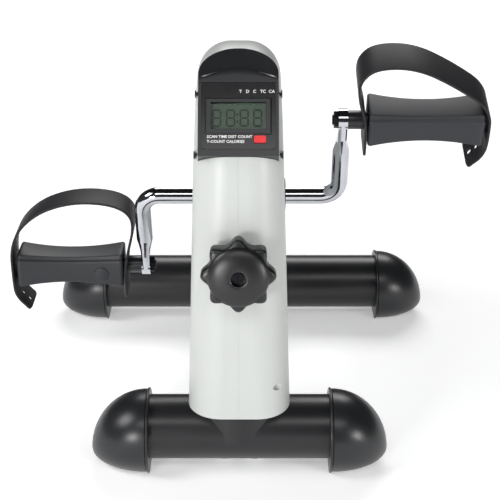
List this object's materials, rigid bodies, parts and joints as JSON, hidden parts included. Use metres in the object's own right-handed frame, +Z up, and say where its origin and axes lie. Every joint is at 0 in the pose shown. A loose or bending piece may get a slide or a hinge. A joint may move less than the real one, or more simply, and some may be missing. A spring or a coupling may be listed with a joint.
{
  "type": "pedal exerciser",
  "caption": "Free-standing pedal exerciser: floor tubes, two-part body, bent crank with strapped pedals, a screw-down friction brake and a small display.",
  "frame": {"origin": "on the floor, under the middle of the exerciser's box", "axes": "+X to the user's right, +Y away from the user, +Z up"},
  "size_m": [0.4012, 0.3413, 0.3252],
  "materials": {
    "black_steel": "satin powder coat",
    "black_plastic": "semi-gloss moulded",
    "knob_plastic": "matte moulded",
    "pedal_plastic": "satin moulded",
    "strap_rubber": "matte",
    "shell_abs": "light grey, satin moulded",
    "chrome_bar": "bright",
    "steel_zinc": "zinc plated",
    "bearing_steel": "ground",
    "drum_iron": "turned",
    "felt": "pressed felt",
    "gloss_black": "polished",
    "lens_clear": "clear",
    "lcd_glass": "grey-green",
    "board_green": "solder mask",
    "button_red": "satin",
    "battery_foil": "shrink sleeve",
    "magnet": "nickel plated",
    "cable_black": "matte jacket"
  },
  "bodies": {
    "root": {"front_base_tube": "black_steel", "rear_base_tube": "black_steel", "front_post": "black_steel", "rear_post": "black_steel", "front_left_cap": "black_plastic", "front_right_cap": "black_plastic", "rear_left_cap": "black_plastic", "rear_right_cap": "black_plastic", "nut_plates": "steel_zinc", "base_bolts": "steel_zinc", "left_frame_plate": "black_steel", "right_frame_plate": "black_steel", "frame_spacers": "steel_zinc", "frame_rivets": "steel_zinc", "bearing_cups": "black_steel", "bearing_balls": "bearing_steel", "left_bearing_outer": "bearing_steel", "right_bearing_outer": "bearing_steel", "left_shell": "shell_abs", "right_shell": "shell_abs", "shell_screws": "steel_zinc", "left_crank_bush": "black_plastic", "right_crank_bush": "black_plastic", "knob_bush": "black_plastic", "brake_bracket": "black_steel", "monitor_housing": "black_plastic", "monitor_face": "gloss_black", "lcd_bezel": "black_plastic", "lcd_lens": "lens_clear", "lcd_panel": "lcd_glass", "circuit_board": "board_green", "battery": "battery_foil", "battery_contacts": "steel_zinc", "monitor_back": "black_plastic", "monitor_screws": "black_steel", "sensor": "black_plastic", "sensor_cable": "cable_black"},
    "mode_button": {"mode_button": "button_red"},
    "knob": {"knob": "knob_plastic", "brake_screw": "steel_zinc", "screw_rings": "steel_zinc"},
    "brake_shoe": {"shoe_carrier": "black_plastic", "brake_pad": "felt"},
    "crank": {"crank_sleeve": "steel_zinc", "left_crank_arm": "chrome_bar", "right_crank_arm": "chrome_bar", "drum": "drum_iron", "crank_pins": "steel_zinc", "drum_magnet": "magnet", "left_bearing_inner": "bearing_steel", "right_bearing_inner": "bearing_steel", "left_pedal_axle": "steel_zinc", "right_pedal_axle": "steel_zinc", "pedal_nuts": "steel_zinc", "pedal_spacers": "black_plastic"},
    "left_pedal": {"left_pedal": "pedal_plastic", "left_strap": "strap_rubber"},
    "right_pedal": {"right_pedal": "pedal_plastic", "right_strap": "strap_rubber"}
  },
  "joints": [
    {"name": "crank_turn", "type": "hinge", "parent": "root", "child": "crank", "pos_m": [0, 0.007, 0.177], "axis": [1, 0, 0], "continuous": true},
    {"name": "left_pedal_turn", "type": "hinge", "parent": "crank", "child": "left_pedal", "pos_m": [-0.1483, 0.02784, 0.10287], "axis": [1, 0, 0], "continuous": true},
    {"name": "right_pedal_turn", "type": "hinge", "parent": "crank", "child": "right_pedal", "pos_m": [0.1483, -0.01384, 0.25113], "axis": [1, 0, 0], "continuous": true},
    {"name": "knob_turn", "type": "hinge", "parent": "root", "child": "knob", "pos_m": [0, -0.1401, 0.18], "axis": [0, 0.9903, -0.1392], "range_deg": [0, 1440.01]},
    {"name": "shoe_travel", "type": "slide", "parent": "root", "child": "brake_shoe", "axis": [0, 0.9903, -0.1392], "range_m": [0, 0.005]},
    {"name": "button_press", "type": "slide", "parent": "root", "child": "mode_button", "axis": [0, 0.8175, -0.5759], "range_m": [0, 0.0008], "stiffness_N_per_m": 800}
  ],
  "couplings": [
    {"joint": "knob_turn", "follows": "shoe_travel", "rad_per_m": 5026.5}
  ]
}
